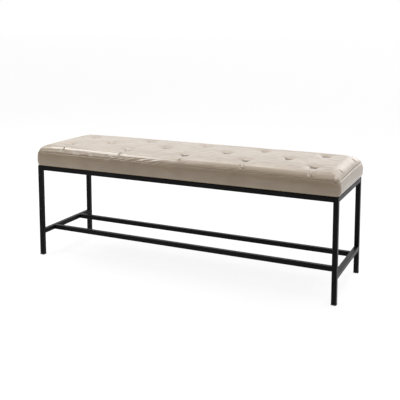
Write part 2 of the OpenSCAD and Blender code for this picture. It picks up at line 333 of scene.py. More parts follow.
@dataclass(frozen=True)
class BondedWadding(Finish):
    """Carded polyester fibre, resin bonded into a loose white fleece.

    To the eye it is a soft white tangle of fine fibres with no gloss but a faint edge glow.
    """

    name: str = "bonded_wadding"
    light: str = "#f1f0ea"
    shade: str = "#d8d6cc"
    tangle_mm: float = 7.0

    def dress(self, tree: Tree, place: Any) -> dict[str, Any]:
        """Tangled fibres as distorted noise."""
        tangle = add_node(tree, "ShaderNodeTexNoise",
                          {"Vector": place, "Scale": per_mm(self.tangle_mm), "Detail": 8.0,
                           "Roughness": 0.75, "Distortion": 2.5})
        colour = add_node(tree, "ShaderNodeValToRGB", {"Fac": tangle},
                          [(0.3, linear(self.shade)), (0.65, linear(self.light))])
        bump = add_node(tree, "ShaderNodeBump", {"Height": tangle, "Strength": 0.7, "Distance": 0.8 * MM})
        return {"Base Color": colour, "Normal": bump, "Roughness": 1.0, "Sheen Weight": 0.4}


@dataclass(frozen=True)
class SpunbondCloth(Finish):
    """Black spunbond polypropylene, calendered with a grid of small weld points.

    To the eye it is a dull, slightly fibrous black sheet with a regular pattern of pressed dots.
    """

    name: str = "spunbond_polypropylene"
    black: str = "#1b1b1c"
    fibre: str = "#303032"
    weld_mm: float = 1.6
    fibre_mm: float = 3.0

    def dress(self, tree: Tree, place: Any) -> dict[str, Any]:
        """Fibres in the colour and pressed dots in the bump."""
        fibres = add_node(tree, "ShaderNodeTexNoise",
                          {"Vector": place, "Scale": per_mm(self.fibre_mm), "Detail": 7.0,
                           "Roughness": 0.8, "Distortion": 3.0})
        colour = add_node(tree, "ShaderNodeValToRGB", {"Fac": fibres},
                          [(0.35, linear(self.black)), (0.75, linear(self.fibre))])
        # Weld points lie on a square grid about a millimetre apart, drawn coarser to show.
        welds = add_node(tree, "ShaderNodeTexVoronoi",
                         {"Vector": place, "Scale": per_mm(self.weld_mm), "Randomness": 0.0})
        bump = add_node(tree, "ShaderNodeBump", {"Height": welds, "Strength": 0.6, "Distance": 0.12 * MM})
        return {"Base Color": colour, "Normal": bump, "Roughness": 0.85, "Sheen Weight": 0.15}


@dataclass(frozen=True)
class ZincPlatedSteel(Finish):
    """Turned and pressed steel with bright zinc plate and a clear passivate.

    To the eye it is a bluish silver metal, finely mottled and only half mirror-like.
    """

    name: str = "zinc_plated_steel"
    bright: str = "#c6cacd"
    clouded: str = "#a5aaae"
    spangle_mm: float = 2.4

    def dress(self, tree: Tree, place: Any) -> dict[str, Any]:
        """Mottled silver with a varying gloss. The metal keeps the default IOR."""
        spangle = add_node(tree, "ShaderNodeTexNoise",
                           {"Vector": place, "Scale": per_mm(self.spangle_mm), "Detail": 5.0})
        colour = add_node(tree, "ShaderNodeValToRGB", {"Fac": spangle},
                          [(0.35, linear(self.clouded)), (0.65, linear(self.bright))])
        gloss = add_node(tree, "ShaderNodeValToRGB", {"Fac": spangle},
                         [(0.3, grey(0.42)), (0.7, grey(0.28))])
        return {"Base Color": colour, "Roughness": gloss, "Metallic": 1.0}


@dataclass(frozen=True)
class TwistedThread(Finish):
    """Continuous-filament polyester, twisted in three strands and bonded.

    To the eye it is a smooth thread with a fine slanting twist and a slight gloss.
    """

    name: str = "twisted_thread"
    light: str = "#cdbfae"
    groove: str = "#8f8170"
    twist_mm: float = 0.9

    def dress(self, tree: Tree, place: Any) -> dict[str, Any]:
        """A slanting twist in the bump, with painted shade darkening the colour in its grooves."""
        twist = add_node(tree, "ShaderNodeTexWave",
                         {"Vector": place, "Scale": per_mm(self.twist_mm) * WAVE_CYCLE, "Distortion": 0.6},
                         wave_type="BANDS", bands_direction="DIAGONAL").outputs["Fac"]
        # Painted shade: the colour darkens to the groove tone where the twist sinks.
        colour = add_node(tree, "ShaderNodeValToRGB", {"Fac": twist},
                          [(0.1, linear(self.groove)), (0.6, linear(self.light))])
        bump = add_node(tree, "ShaderNodeBump", {"Height": twist, "Strength": 0.5, "Distance": 0.1 * MM})
        return {"Base Color": colour, "Normal": bump, "Roughness": 0.5, "Sheen Weight": 0.2}


@dataclass(frozen=True)
class OpalAcrylicFloor(Finish):
    """Cast opal acrylic sheet, satin on top and lit evenly from below.

    To the eye it is a plain, almost shadowless white with only a breath of shade under the object.
    """

    name: str = "opal_acrylic_floor"
    white: str = "#6f6f6f"
    faint: str = "#6c6c6c"
    cloud_mm: float = 400.0
    glow: float = 0.84

    def dress(self, tree: Tree, place: Any) -> dict[str, Any]:
        """Almost even white, lit through."""
        cloud = add_node(tree, "ShaderNodeTexNoise", {"Vector": place, "Scale": per_mm(self.cloud_mm)})
        colour = add_node(tree, "ShaderNodeValToRGB", {"Fac": cloud},
                          [(0.3, linear(self.faint)), (0.7, linear(self.white))])
        return {"Base Color": colour, "Roughness": 0.9, "Specular IOR Level": 0.1,
                "Emission Color": grey(1.0), "Emission Strength": self.glow}


LEATHER = CoatedFauxLeather()
SLOT_FINISH: dict[str, Finish] = {
    "frame_steel": PowderCoatedSteel(),
    "foot_plastic": MouldedPlastic(),
    "plywood": BirchPlywood(),
    "foam": FoamBlock(),
    "wadding": BondedWadding(),
    "faux_leather": LEATHER,
    # The twine's groove tone is painted shade in its twist, as for the thread.
    "twine": TwistedThread(name="waxed_twine", light="#a59684", groove="#6f6354", twist_mm=1.6),
    "anchor_plastic": MouldedPlastic(name="moulded_anchor", black="#141415", scuffed="#202022"),
    "dust_cloth": SpunbondCloth(),
    "zinc_steel": ZincPlatedSteel(),
}


# ---- mesh helpers


def smoothstep(low: float, high: float, value: Array) -> Array:
    """0 below low, 1 above high, and a smooth rise between them."""
    t = np.clip((value - low) / (high - low), 0.0, 1.0)
    return t * t * (3 - 2 * t)


def hump(value: Array, width: float, power: float = 2) -> Array:
    """1 at 0, falling away on both sides over this width, more squarely for a higher power."""
    return np.exp(-(np.abs(value / width) ** power))


def add_object(name: str, data: Any) -> Object:
    """Puts an object in the scene.

    Args:
        name: The object's name.
        data: Its mesh, light or camera.

    Returns:
        The new object.
    """
    made = bpy.data.objects.new(name, data)
    bpy.context.scene.collection.objects.link(made)
    return made


def make_piece(name: str, points: Array, faces: Array, finish: Finish) -> Object:
    """Makes a smooth-shaded mesh that rides on the bench.

    Args:
        name: The piece's name.
        points: Vertices, in an array whose last axis is x, y and z.
        faces: Corner numbers of each quad, one row each.
        finish: Its finish.

    Returns:
        The new object.
    """
    mesh = bpy.data.meshes.new(name)
    mesh.from_pydata(points.reshape(-1, 3).tolist(), [], faces.tolist())
    mesh.validate()
    mesh.update()
    mesh.shade_smooth()
    mesh.materials.append(finish.build())
    piece = add_object(name, mesh)
    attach(piece, BODY)
    LOG.info("%s: %d faces", name, len(mesh.polygons))
    return piece


def grid_faces(rows: int, columns: int, wrap: bool = False) -> Array:
    """Quads of a grid whose vertices run along the rows.

    Args:
        rows: Number of rows.
        columns: Number of columns.
        wrap: Whether the last column joins the first.

    Returns:
        Corner numbers of each quad.
    """
    j = np.arange(rows - 1)[:, None]
    i = np.arange(columns if wrap else columns - 1)[None, :]
    after = (i + 1) % columns
    return np.stack([j * columns + i, j * columns + after, (j + 1) * columns + after,
                     (j + 1) * columns + i], -1).reshape(-1, 4)


def grid_normals(grid: Array, wrap: bool = False) -> Array:
    """Unit normals of a grid of points, pointing to the left of a row's direction.

    Args:
        grid: Points as rows by columns by 3.
        wrap: Whether the last column joins the first.

    Returns:
        One normal for each point.
    """
    across = np.roll(grid, -1, 1) - np.roll(grid, 1, 1) if wrap else np.gradient(grid, axis=1)
    normal = np.cross(across, np.gradient(grid, axis=0))
    return normal / np.maximum(np.linalg.norm(normal, axis=-1, keepdims=True), 1e-12)


def shell_faces(rows: int, columns: int, wrap: bool = False) -> Array:
    """Quads that close a grid and its copy, numbered after it, into one solid shell.

    Args:
        rows: Number of rows.
        columns: Number of columns.
        wrap: Whether the last column joins the first. The copy then lies on the left of the rows,
            otherwise on their right.

    Returns:
        Corner numbers of each quad.
    """
    count = rows * columns
    index = np.arange(count).reshape(rows, columns)
    face = grid_faces(rows, columns, wrap)
    if wrap:
        face = face[:, ::-1]
        rims = [index[0], index[-1, ::-1]]
    else:
        rims = [np.concatenate([index[0, :-1], index[:-1, -1], index[-1, :0:-1], index[:0:-1, 0]])]
    edges = [np.stack([np.roll(rim, -1), rim, rim + count, np.roll(rim, -1) + count], -1) for rim in rims]
    return np.concatenate([face, face[:, ::-1] + count, *edges])


def tube_faces(rings: int, sides: int) -> Array:
    """Quads of a tube with both ends closed. Its sides are even in number and run ring by ring."""
    cap = np.array([[0, k, k + 1, k + 2] for k in range(1, sides - 1, 2)])
    return np.concatenate([grid_faces(rings, sides, wrap=True), cap[:, ::-1], cap + (rings - 1) * sides])


def run_length(line: Array) -> Array:
    """Distance along a line at each of its points."""
    return np.concatenate([[0], np.cumsum(np.linalg.norm(np.diff(line, axis=0), axis=1))])


def sample(at: Array, known: Array, values: Array) -> Array:
    """Interpolates rows of values, known at rising positions, to the wanted positions."""
    return np.stack([np.interp(at, known, column) for column in values.T], -1)


def graded(low: float, high: float, marks: Sequence[float], fine: float, coarse: float,
           reach: float) -> Array:
    """Positions along a line, close together near marks and further apart elsewhere.

    Args:
        low: First position.
        high: Last position.
        marks: Where detail is needed.
        fine: Spacing at a mark.
        coarse: Spacing away from the marks.
        reach: Distance from a mark over which the fine spacing holds.

    Returns:
        The positions, from low to high.
    """
    dense = np.linspace(low, high, 20001)
    near = np.min(np.abs(dense[:, None] - np.asarray(marks)[None, :]), axis=1)
    step = fine + (coarse - fine) * smoothstep(reach, reach * 2.2, near)
    count = np.concatenate([[0.0], np.cumsum((dense[1] - dense[0]) / step[1:])])
    total = max(2, int(round(count[-1])))
    return np.interp(np.linspace(0, count[-1], total + 1), count, dense)


def cubic_along(values: Array, at: Array, wanted: Array) -> Array:
    """Smooth interpolation of rows of values along their first axis.

    Args:
        values: Known values, one entry of the first axis for each position.
        at: Positions of the known values, rising.
        wanted: Positions to interpolate to.

    Returns:
        Values at the wanted positions.
    """
    slope = np.gradient(values, at, axis=0)
    cell = np.clip(np.searchsorted(at, wanted, side="right") - 1, 0, len(at) - 2)
    width = (at[cell + 1] - at[cell]).reshape(-1, *[1] * (values.ndim - 1))
    t = ((wanted - at[cell]) / (at[cell + 1] - at[cell])).clip(0, 1).reshape(width.shape)
    start, end = values[cell], values[cell + 1]
    return ((2 * t**3 - 3 * t**2 + 1) * start + (t**3 - 2 * t**2 + t) * width * slope[cell]
            + (3 * t**2 - 2 * t**3) * end + (t**3 - t**2) * width * slope[cell + 1])


# ---- the seat's form


class Side(Enum):
    """The four sides of the seat, as the outward direction in plan."""

    FRONT = (0, -1)
    BACK = (0, 1)
    LEFT = (-1, 0)
    RIGHT = (1, 0)


@dataclass(frozen=True)
class SeatPlan:
    """The seat's plan and heights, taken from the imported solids."""

    half_l: float
    half_d: float
    bottom_z: float
    seam_z: float
    top_z: float
    board_z: float
    board_top: float
    corner: float = 14 * MM
    roll_w: float = 36 * MM
    roll_turn: float = math.radians(62)
    roll_ease: float = 1.45

    @classmethod
    def from_solids(cls) -> "SeatPlan":
        """Reads the plan from the boxes of the cover and the board. The seam lies a little inside them.

        Returns:
            The plan.
        """
        seam_in = 2.5 * MM
        band_lo, band_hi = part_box("cover_band")
        board_lo, board_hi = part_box("seat_board")
        return cls(half_l=band_hi.x - seam_in, half_d=band_hi.y - seam_in, bottom_z=band_lo.z,
                   seam_z=band_hi.z, top_z=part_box("cover_top")[1].z, board_z=board_lo.z,
                   board_top=board_hi.z)

    @property
    def roll_h(self) -> float:
        """Height of the roll above the seam."""
        return self.top_z - self.seam_z

    @property
    def band_h(self) -> float:
        """Height of the band from the hem's fold to the seam."""
        return self.seam_z - self.bottom_z

    def roll(self, turn: Array) -> tuple[Array, Array]:
        """The roll's profile: it leaves the top level, curves more and more and meets the seam at a slant.

        Args:
            turn: From 0 on the flat top to 1 at the seam.

        Returns:
            How far out and how high above the seam, each from 0 to 1.
        """
        line = np.linspace(0.0, 1.0, 400)
        angle = self.roll_turn * line**self.roll_ease
        out, fall = (np.cumsum(part) - part[0] for part in (np.cos(angle), np.sin(angle)))
        return np.interp(turn, line, out / out[-1]), 1 - np.interp(turn, line, fall / fall[-1])

    def arc(self) -> float:
        """Length of the roll, measured over its curve."""
        out, up = self.roll(np.linspace(0, 1, 400))
        return float(np.hypot(np.diff(self.roll_w * out), np.diff(self.roll_h * up)).sum())

    def fold_end(self, side: Side) -> float:
        """How far along a side, either way from its middle, its pleats and gathers go."""
        return (self.half_l if side.value[1] else self.half_d) - 8 * MM

    def to_corner(self, x: Array, y: Array) -> Array:
        """Distance in plan to the nearest corner of the seat."""
        return np.hypot(self.half_l - np.abs(x), self.half_d - np.abs(y))


@dataclass(frozen=True)
class Tufting:
    """The tufts: three staggered rows, five tufts in the outer ones and four between.

    The cover is gathered by hand, so each tuft lies off its tie by some millimetres along the bench
    and is pulled in more or less sharply, from 0 to 1, listed for the front, back and middle row.
    Each is a broad dish with a bowl, a bowed pit at its bottom, and creases to its neighbours, which
    are raised on one flank.
    """

    pitch: float = 256 * MM
    row: float = 96 * MM
    off_mm: tuple[float, ...] = (-9, 14, 8, -2, -3, -8, 12, 12, 5, -10, 3, 8, 12, 3)
    pull: tuple[float, ...] = (0.25, 0.4, 1.0, 0.9, 0.9, 0.25, 0.3, 0.4, 0.6, 0.6, 0.3, 0.4, 0.6, 0.8)
    dish: float = 1.6 * MM
    dish_r: float = 44 * MM
    bowl_mm: float = 7.6
    bowl_r: float = 20 * MM
    pit: float = 6.2 * MM
    pit_r: float = 6 * MM
    pit_bow: float = 36.0
    crease_turn: float = 9.0
    crease_bend: float = 0.0035
    crease_w: float = 2.1 * MM
    flank_off: float = 5.5 * MM
    flank_w: float = 4.2 * MM
    # Length, width and bow of the painted shade in each tuft's fold.
    shade_l: float = 19 * MM
    shade_w: float = 9 * MM
    shade_bow: float = 20.0
    seed: int = 7

    def outer_x(self) -> list[float]:
        """X of the ties in the front and back rows."""
        return [self.pitch * i for i in range(-2, 3)]

    def feet(self) -> list[Place]:
        """Every tie's place in the board, as (x, y)."""
        rows = ((-self.row, self.outer_x()), (self.row, self.outer_x()),
                (0.0, [self.pitch * (i + 0.5) for i in range(-2, 2)]))
        return [(x, y) for y, line in rows for x in line]

    def places(self) -> list[Place]:
        """Every tuft as (x, y), in the order of the ties."""
        return [(x + off * MM, y) for (x, y), off in zip(self.feet(), self.off_mm)]

    def pulled(self) -> list[tuple[Place, float]]:
        """Every tuft's place and pull."""
        return list(zip(self.places(), self.pull))

    def crease_ways(self, x: float, y: float) -> list[Place]:
        """Directions of the creases that run from a tuft to its neighbours.

        Args:
            x: X of the tuft.
            y: Y of the tuft.

        Returns:
            Unit vectors in plan.
        """
        size = math.hypot(self.pitch / 2, self.row)
        return [(sx * self.pitch / 2 / size, sy * self.row / size) for sx in (-1, 1) for sy in (-1, 1)
                if abs(y + sy * self.row) < self.row * 1.5
                and abs(x + sx * self.pitch / 2) < self.pitch * 2.3]

    def relief(self, x: Array, y: Array, sharpness: float) -> Array:
        """Depth that the tufts and their creases take from the top.

        Args:
            x: Unrolled x.
            y: Unrolled y.
            sharpness: How much of the pits and creases is left, from 0 to 1.

        Returns:
            Height at each point, negative in a hollow.
        """
        rng = np.random.default_rng(self.seed)
        out = np.zeros_like(x)
        for (tx, ty), pull in self.pulled():
            dx, dy = x - tx, y - ty
            r = np.hypot(dx, dy)
            out -= self.dish * hump(r, self.dish_r)
            out -= (self.bowl_mm - pull) * MM * hump(r, self.bowl_r, 1.7)
            pit = np.hypot(dx / 2.2, dy - self.pit_bow * dx**2)
            out -= self.pit * pull * sharpness * hump(pit, self.pit_r, 2.8)
            for wx, wy in self.crease_ways(tx, ty):
                turn = math.radians(rng.uniform(-self.crease_turn, self.crease_turn))
                cx = wx * math.cos(turn) - wy * math.sin(turn)
                cy = wx * math.sin(turn) + wy * math.cos(turn)
                length, depth = rng.uniform(20, 34) * MM, rng.uniform(0.8, 1.7) * MM * sharpness
                bend = rng.uniform(-self.crease_bend, self.crease_bend) / length**2
                p, q = dx * cx + dy * cy, dy * cx - dx * cy
                q = q - bend * p * p
                fade = smoothstep(-2 * MM, 4 * MM, p) * (1 - smoothstep(0.1 * length, length, p))
                out -= depth * fade * hump(q, self.crease_w, 1.3)
                flank = rng.choice([-1.0, 1.0]) * self.flank_off
                out += 0.5 * depth * fade * hump(q - flank, self.flank_w)
        return out

    def painted_fold_shade(self, x: Array, y: Array) -> Array:
        """How much painted shade each point takes, from how deep in a tuft's fold it lies.

        Args:
            x: Unrolled x.
            y: Unrolled y.

        Returns:
            The share of the darker painted shade at each point, from 0 to 1.
        """
        out = np.zeros_like(x)
        for (tx, ty), pull in self.pulled():
            dx, dy = x - tx, y - ty
            bow = np.hypot(dx / self.shade_l, (dy - self.shade_bow * dx**2 - 2 * MM) / self.shade_w)
            out = np.maximum(out, (0.7 + 0.3 * pull) * hump(bow, 1.0, 2.4))
        return out


@dataclass(frozen=True)
class Gathers:
    """Short drag lines in a cover, drawn as many small slanting ridges and hollows.

    The first stretch of the edge, as long as `calm`, has none, and they rise to full height after it.
    """

    per_metre: float
    length: tuple[float, float]
    width: tuple[float, float]
    height: float
    slant: tuple[float, float]
    down: tuple[float, float]
    seed: int
    calm: float = 0.0

    def relief(self, along: Array, down: Array, end: float) -> Array:
        """Height of the gathers over a strip of cover.

        Args:
            along: Position along the edge at each point.
            down: Distance down the cover at each point.
            end: How far the strip goes along the edge, either way from its middle.

        Returns:
            The height at each point, positive outwards.
        """
        rng = np.random.default_rng(self.seed)
        out = np.zeros_like(along)
        for _ in range(int(self.per_metre * 2 * end)):
            centre, depth = rng.uniform(-end, end), rng.uniform(*self.down)
            angle = math.radians(rng.uniform(*self.slant))
            length, width = rng.uniform(*self.length) / 2, rng.uniform(*self.width) / 2
            height = self.height * rng.uniform(0.45, 1.0) * rng.choice([-1.0, 1.0])
            if self.calm:
                height *= float(smoothstep(self.calm - end, 2.5 * self.calm - end, np.array(centre)))
            near = (np.abs(along - centre) < length * 2.2) & (np.abs(down - depth) < length * 2.2)
            u, v = along[near] - centre, down[near] - depth
            p = u * math.cos(angle) + v * math.sin(angle)
            q = v * math.cos(angle) - u * math.sin(angle)
            out[near] += height * np.exp(-((p / length) ** 2) - (q / width) ** 2)
        return out


@dataclass
class PanelForm:
    """The form of the tufted top panel: a grid laid over the flat top and down the rolls to the seam.

    Each grid line holds a plan position inside the rolls and a share of the roll, from -1 to 1. A
    skirt goes on straight down from there, with shares up to 2. `corner_drops` says by how much each
    corner, given by its signs in x and y, sinks and how far in that reaches. `sag` is how far the
    front edge sinks towards the right.
    """

    plan: SeatPlan
    tufting: Tufting
    marks: Sequence[float] = ()
    fine: float = 1.5 * MM
    coarse: float = 3.4 * MM
    reach: float = 14 * MM
    roll_steps: int = 28
    crown: float = 1.6 * MM
    corner_drops: tuple[tuple[int, int, float, float], ...] = (
        (-1, -1, 4 * MM, 42 * MM), (1, -1, 4 * MM, 200 * MM), (1, 1, 9 * MM, 46 * MM),
        (-1, 1, 4.5 * MM, 55 * MM))
    sag: float = 6.5 * MM
    sag_reach: float = 60 * MM
    sag_x: tuple[float, float] = (-0.55, 0.05)
    sharpness: float = 1.0
    skirt: float = 0.0
    skirt_steps: int = 0
    x_line: tuple[Array, Array] = field(init=False)
    y_line: tuple[Array, Array] = field(init=False)

    def __post_init__(self) -> None:
        """Lays out the grid lines."""
        marks_x = [*(x for x, _ in self.tufting.places()), *self.marks]
        self.x_line = self._line(self.plan.half_l, marks_x)
        self.y_line = self._line(self.plan.half_d, [-self.tufting.row, 0.0, self.tufting.row])

    def _line(self, half: float, marks: Sequence[float]) -> tuple[Array, Array]:
        """Lays grid lines across one direction.

        Args:
            half: Half the seat's size in that direction.
            marks: Where the lines lie close together.

        Returns:
            The lines' positions and their shares of the roll.
        """
        inner = half - self.plan.roll_w
        flat = graded(-inner, inner, marks, self.fine, self.coarse, self.reach)
        share = np.linspace(0, 1, self.roll_steps + 1)[1:]
        share = np.concatenate([share, np.linspace(1, 2, self.skirt_steps + 1)[1:]])
        place = np.concatenate([np.full(len(share), -inner), flat, np.full(len(share), inner)])
        return place, np.concatenate([-share[::-1], np.zeros(len(flat)), share])

    def unrolled(self) -> tuple[Array, Array]:
        """X of the columns and y of the rows, measured over the cover from the seat's middle."""
        arc = self.plan.arc()
        return self.x_line[0] + self.x_line[1] * arc, self.y_line[0] + self.y_line[1] * arc

    def smooth(self) -> Array:
        """The panel before anything pulls on it.

        Returns:
            Points as rows by columns by 3.
        """
        plan = self.plan
        rx, ry = np.meshgrid(self.x_line[1], self.y_line[1])
        x0, y0 = np.meshgrid(self.x_line[0], self.y_line[0])
        a, b = np.abs(rx), np.abs(ry)
        share = np.maximum(a, b)
        top = np.maximum(share, 1e-9)
        # At a corner the rolls of two sides are spread round a quarter turn, out to a rounded square.
        phi = np.where(a >= b, (math.pi / 4) * b / top, math.pi / 2 - (math.pi / 4) * a / top)
        folded = np.minimum(phi, math.pi / 2 - phi)
        ratio = plan.corner / plan.roll_w
        c = 1 - ratio
        both = np.cos(folded) + np.sin(folded)
        round_r = c * both + np.sqrt(np.maximum((c * both) ** 2 - (2 * c * c - ratio * ratio), 0))
        radius = np.where(np.tan(folded) <= c, 1 / np.cos(folded), round_r)
        outward, rise = plan.roll(np.minimum(share, 1.0))
        out = plan.roll_w * outward * radius
        x = x0 + np.sign(rx) * np.where(a > 0, out * np.cos(phi), 0)
        y = y0 + np.sign(ry) * np.where(b > 0, out * np.sin(phi), 0)
        z = plan.seam_z + plan.roll_h * rise - self.skirt * np.maximum(share - 1.0, 0.0)
        u, v = x / plan.half_l, y / plan.half_d
        z = z + self.crown * (1 - np.clip(u, -1, 1) ** 6) * (1 - np.clip(v, -1, 1) ** 2) * np.sqrt(rise)
        for sx, sy, drop, reach in self.corner_drops:
            to_corner = np.hypot(plan.half_l - sx * x, plan.half_d - sy * y)
            z = z - drop * hump(to_corner, reach) * rise
        near_front = hump(plan.half_d + y, self.sag_reach)
        z = z - self.sag * smoothstep(*self.sag_x, x) * near_front * rise
        return np.stack([x, y, z], -1)


@dataclass
class CoverSwell:
    """How the filling swells the cover between its tufts, found by simulation.

    A coarse copy of the top panel is held at the tufts and along the rolls and blown up a little as
    cloth. It has slightly more cloth than it needs, so it settles into soft drapes between the tufts.
    """

    plan: SeatPlan
    tufting: Tufting
    cell: float = 8 * MM
    pressure: float = 4.0
    fullness: float = 0.002
    frames: int = 20
    cap: float = 5 * MM
    hold_reach: float = 9 * MM

    def over(self, form: PanelForm) -> Array:
        """Args:
            form: The panel's form.

        Returns:
            How far each point of the panel moves.
        """
        across, up, move = self.run()
        to_x, to_y = form.unrolled()
        rows = cubic_along(move, up, to_y)
        return cubic_along(rows.transpose(1, 0, 2), across, to_x).transpose(1, 0, 2)

    def run(self) -> tuple[Array, Array, Array]:
        """Runs the cloth.

        Returns:
            Unrolled x of the columns, unrolled y of the rows, and how far each point moved.
        """
        form = PanelForm(self.plan, self.tufting, fine=self.cell, coarse=self.cell, roll_steps=7,
                         sharpness=0.2)
        grid = form.smooth()
        ux, uy = np.meshgrid(*form.unrolled())
        start = grid + grid_normals(grid) * self.tufting.relief(ux, uy, form.sharpness)[..., None]
        held = np.zeros(ux.shape)
        for tx, ty in self.tufting.places():
            away = smoothstep(self.hold_reach / 2, self.hold_reach, np.hypot(ux - tx, uy - ty))
            held = np.maximum(held, 1 - away)
        share = np.maximum(*np.meshgrid(np.abs(form.x_line[1]), np.abs(form.y_line[1])))
        held = np.maximum(held, smoothstep(-0.2, 0.4, share))
        mesh = bpy.data.meshes.new("swelling_cover")
        mesh.from_pydata(start.reshape(-1, 3).tolist(), [], grid_faces(*ux.shape).tolist())
        cover = add_object("swelling_cover", mesh)
        pins = cover.vertex_groups.new(name="held")
        for index, weight in enumerate(held.ravel()):
            if weight > 0:
                pins.add([index], float(weight), "REPLACE")
        self._settings(cover)
        scene = bpy.context.scene
        for number in range(1, self.frames + 1):
            scene.frame_set(number)
        solved = cover.evaluated_get(bpy.context.evaluated_depsgraph_get()).to_mesh()
        end = np.empty(start.size)
        solved.vertices.foreach_get("co", end)
        scene.frame_set(1)
        bpy.data.objects.remove(cover)
        bpy.data.meshes.remove(mesh)
        move = end.reshape(start.shape) - start
        far = np.linalg.norm(move, axis=-1, keepdims=True)
        move *= self.cap * np.tanh(far / self.cap) / np.maximum(far, 1e-9)
        LOG.info("cover swelled by %.1f mm on average, %.1f mm at most", far.mean() / MM, far.max() / MM)
        return *form.unrolled(), move

    def _settings(self, cover: Object) -> None:
        """Faux leather as cloth: stiff to stretch, springy to bend, and without weight.

        Args:
            cover: The coarse copy of the panel.
        """
        cloth = cover.modifiers.new("cloth", "CLOTH")
        rules = cloth.settings
        rules.vertex_group_mass = "held"
        rules.use_pressure = True
        rules.uniform_pressure_force = self.pressure
        rules.effector_weights.gravity = 0.0
        rules.quality = 6
        rules.mass = 0.3
        rules.tension_stiffness = rules.compression_stiffness = 25.0
        rules.shear_stiffness = 12.0
        rules.bending_stiffness = 5.0
        rules.shrink_min = -self.fullness
        cloth.collision_settings.use_collision = False
        cloth.point_cache.frame_start, cloth.point_cache.frame_end = 1, self.frames


@dataclass
class Pleat:
    """A short fold over the upper roll: a thin deep line, then a lip that rises to its right.

    At some tufts the lip begins on the flat top and is a broad flap. Both starts are distances from
    the flat top, and the ends are shares of the roll between which the fold dies out.
    """

    at: float
    lean: float = 0.0
    start: float = 8 * MM
    lip_start: float = 4 * MM
    lip: float = 1.2 * MM
    lip_w: float = 7 * MM
    depth: float = 5.0 * MM
    fall: float = 1.4 * MM
    groove_w: float = 2.0 * MM
    ends: tuple[float, float] = (0.58, 0.82)

    def relief(self, along: Array, down: Array, arc: float) -> Array:
        """Height that the fold adds or takes.

        Args:
            along: Position along the edge at each point.
            down: Distance from the start of the roll at each point, negative on the flat top.
            arc: Length of the roll.

        Returns:
            The height at each point.
        """
        w = along - self.at - self.lean * (down / arc - 0.5)
        left = 1 - smoothstep(self.ends[0] * arc, self.ends[1] * arc, down)
        live = smoothstep(self.start, self.start + 7 * MM, down) * left
        groove = self.depth * live * hump(w, self.groove_w, 1.6)
        ramp = np.clip(w / self.lip_w, 0.0, 1.6) / (1 + np.exp((w - self.lip_w) / self.fall))
        opening = smoothstep(self.lip_start, self.lip_start + 18 * MM, down) * left
        return self.lip * opening * ramp - groove


@dataclass
class Outline:
    """The seat's outline as a closed loop, close together at the corners and near the pleats.

    Each point keeps its place on an inner rectangle and its outward direction, so that the loop can
    be drawn at any distance in or out without crossing itself.
    """

    plan: SeatPlan
    marks_x: Sequence[float]
    marks_y: Sequence[float]
    fine: float = 2.0 * MM
    coarse: float = 4.5 * MM
    reach: float = 10 * MM
    corner_steps: int = 14
    least_r: float = 1.5 * MM
    keep: Array = field(init=False)
    way: Array = field(init=False)

    def __post_init__(self) -> None:
        """Lays the loop anticlockwise from the front left corner."""
        xs, ys = (graded(-end, end, marks, self.fine, self.coarse, self.reach) / end for end, marks in
                  ((self.plan.half_l - self.plan.corner, self.marks_x),
                   (self.plan.half_d - self.plan.corner, self.marks_y)))
        keep: list[Place] = []
        way: list[Place] = []
        legs = [(xs, (0, -1), -90), (ys, (1, 0), 0), (xs[::-1], (0, 1), 90), (ys[::-1], (-1, 0), 180)]
        for line, (nx, ny), start in legs:
            keep += [(k, float(ny)) if ny else (float(nx), k) for k in line]
            way += [(nx, ny)] * len(line)
            end = keep[-1]
            for step in range(1, self.corner_steps):
                angle = math.radians(start + 90 * step / self.corner_steps)
                keep.append((math.copysign(1, end[0]), math.copysign(1, end[1])))
                way.append((math.cos(angle), math.sin(angle)))
        self.keep, self.way = np.array(keep), np.array(way, float)

    def loop(self, out: float) -> Array:
        """Draws the loop at a distance outside the seat's plan.

        Args:
            out: The distance, negative if inside.

        Returns:
            Points in plan.
        """
        radius = max(self.plan.corner + out, self.least_r)
        inner = np.array([self.plan.half_l + out - radius, self.plan.half_d + out - radius])
        return self.keep * inner + self.way * radius


